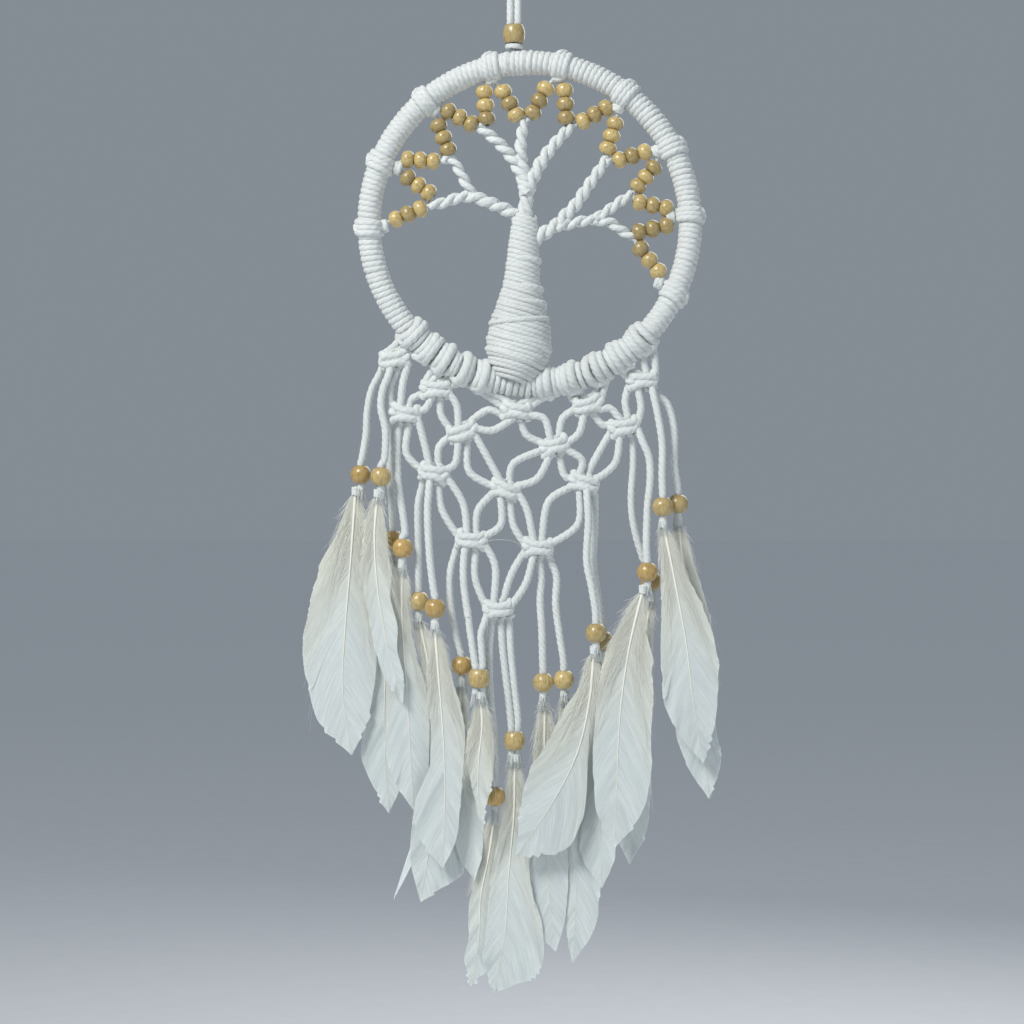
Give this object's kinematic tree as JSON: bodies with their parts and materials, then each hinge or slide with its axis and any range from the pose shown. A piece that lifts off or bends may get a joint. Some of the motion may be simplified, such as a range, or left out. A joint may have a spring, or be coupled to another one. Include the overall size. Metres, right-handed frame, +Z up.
{
  "type": "dream catcher",
  "caption": "Cord-wrapped ring with a beaded tree inside, a knotted net below it, and feathers hung on beaded strands; hangs from a cord loop.",
  "frame": {"origin": "inside of the hanging loop's top, where a nail or hook bears", "axes": "+Z up along the hanging cord, +X to the viewer's right, -Y towards the viewer, so +Y is the wall side"},
  "size_m": [0.1867, 0.0259, 0.5301],
  "materials": {
    "cotton": "matt twisted cotton",
    "bead_wood": "clear varnish, satin",
    "ring_wood": "bare",
    "feather": "matt, slightly translucent"
  },
  "bodies": {
    "hang_cord": {"hang_cord": "cotton"},
    "hang_bead": {"hang_bead": "bead_wood"},
    "top_knot": {"top_knot": "cotton"},
    "hoop": {"hoop_rod": "ring_wood", "hoop_wrap": "cotton", "ring_ties": "cotton", "trunk": "cotton", "branches": "cotton", "tree_beads": "bead_wood", "larks_heads": "cotton", "net_knots": "cotton", "net_cords": "cotton"},
    "pendant_01": {"strand_01": "cotton", "bead_01": "bead_wood", "feather_01": "feather"},
    "pendant_02": {"strand_02": "cotton", "bead_02": "bead_wood", "feather_02": "feather"},
    "pendant_03": {"strand_03": "cotton", "bead_03": "bead_wood", "feather_03": "feather"},
    "pendant_04": {"strand_04": "cotton", "bead_04": "bead_wood", "feather_04": "feather"},
    "pendant_05": {"strand_05": "cotton", "bead_05": "bead_wood", "feather_05": "feather"},
    "pendant_06": {"strand_06": "cotton", "bead_06": "bead_wood", "feather_06": "feather"},
    "pendant_07": {"strand_07": "cotton", "bead_07": "bead_wood", "feather_07": "feather"},
    "pendant_08": {"strand_08": "cotton", "bead_08": "bead_wood", "feather_08": "feather"},
    "pendant_09": {"strand_09": "cotton", "bead_09": "bead_wood", "feather_09": "feather"},
    "pendant_10": {"strand_10": "cotton", "bead_10": "bead_wood", "feather_10": "feather"},
    "pendant_12": {"strand_12": "cotton", "bead_12": "bead_wood", "feather_12": "feather"},
    "pendant_13": {"strand_13": "cotton", "bead_13": "bead_wood", "feather_13": "feather"},
    "pendant_14": {"strand_14": "cotton", "bead_14": "bead_wood", "feather_14": "feather"},
    "pendant_15": {"strand_15": "cotton", "bead_15": "bead_wood", "feather_15": "feather"},
    "pendant_16": {"strand_16": "cotton", "bead_16": "bead_wood", "feather_16": "feather"},
    "pendant_17": {"strand_17": "cotton", "bead_17": "bead_wood", "feather_17": "feather"}
  },
  "joints": [
    {"name": "bead_slide", "type": "slide", "parent": "hang_cord", "child": "hang_bead", "axis": [0, 0, 1], "range_m": [0, 0.045]},
    {"name": "hoop_turn", "type": "hinge", "parent": "hang_cord", "child": "top_knot", "pos_m": [0, 0, -0.1049], "axis": [0, 0, 1], "range_deg": [-60, 60]},
    {"name": "hoop_sway", "type": "hinge", "parent": "top_knot", "child": "hoop", "pos_m": [0, 0, -0.1049], "axis": [0, 1, 0], "range_deg": [-8, 8]},
    {"name": "swing_01", "type": "hinge", "parent": "hoop", "child": "pendant_01", "pos_m": [-0.0595, 0.0022, -0.2495], "axis": [-1, 0, 0], "range_deg": [-25, 0]},
    {"name": "swing_02", "type": "hinge", "parent": "hoop", "child": "pendant_02", "pos_m": [-0.0555, -0.0022, -0.2502], "axis": [-1, 0, 0], "range_deg": [0, 25]},
    {"name": "swing_03", "type": "hinge", "parent": "hoop", "child": "pendant_03", "pos_m": [-0.0535, 0.0033, -0.275], "axis": [-1, 0, 0], "range_deg": [-25, 0]},
    {"name": "swing_04", "type": "hinge", "parent": "hoop", "child": "pendant_04", "pos_m": [-0.041, 0.003, -0.3005], "axis": [-1, 0, 0], "range_deg": [-25, 0]},
    {"name": "swing_05", "type": "hinge", "parent": "hoop", "child": "pendant_05", "pos_m": [-0.0377, -0.0022, -0.301], "axis": [-1, 0, 0], "range_deg": [0, 25]},
    {"name": "swing_06", "type": "hinge", "parent": "hoop", "child": "pendant_06", "pos_m": [-0.0263, 0.0022, -0.3305], "axis": [-1, 0, 0], "range_deg": [-25, 0]},
    {"name": "swing_07", "type": "hinge", "parent": "hoop", "child": "pendant_07", "pos_m": [-0.0165, -0.0022, -0.3577], "axis": [-1, 0, 0], "range_deg": [0, 25]},
    {"name": "swing_08", "type": "hinge", "parent": "hoop", "child": "pendant_08", "pos_m": [-0.01, 0.0022, -0.361], "axis": [-1, 0, 0], "range_deg": [-25, 0]},
    {"name": "swing_09", "type": "hinge", "parent": "hoop", "child": "pendant_09", "pos_m": [-0.0041, 0.0022, -0.361], "axis": [-1, 0, 0], "range_deg": [-25, 0]},
    {"name": "swing_10", "type": "hinge", "parent": "hoop", "child": "pendant_10", "pos_m": [0.014, 0.0022, -0.334], "axis": [-1, 0, 0], "range_deg": [-25, 0]},
    {"name": "swing_12", "type": "hinge", "parent": "hoop", "child": "pendant_12", "pos_m": [0.0324, -0.0036, -0.3052], "axis": [-1, 0, 0], "range_deg": [0, 25]},
    {"name": "swing_13", "type": "hinge", "parent": "hoop", "child": "pendant_13", "pos_m": [0.036, 0.0022, -0.3052], "axis": [-1, 0, 0], "range_deg": [-25, 0]},
    {"name": "swing_14", "type": "hinge", "parent": "hoop", "child": "pendant_14", "pos_m": [0.057, -0.0022, -0.2803], "axis": [-1, 0, 0], "range_deg": [0, 25]},
    {"name": "swing_15", "type": "hinge", "parent": "hoop", "child": "pendant_15", "pos_m": [0.053, 0.0022, -0.2805], "axis": [-1, 0, 0], "range_deg": [-25, 0]},
    {"name": "swing_16", "type": "hinge", "parent": "hoop", "child": "pendant_16", "pos_m": [0.062, -0.0022, -0.26], "axis": [-1, 0, 0], "range_deg": [0, 25]},
    {"name": "swing_17", "type": "hinge", "parent": "hoop", "child": "pendant_17", "pos_m": [0.0625, 0.0022, -0.2585], "axis": [-1, 0, 0], "range_deg": [-25, 0]}
  ]
}
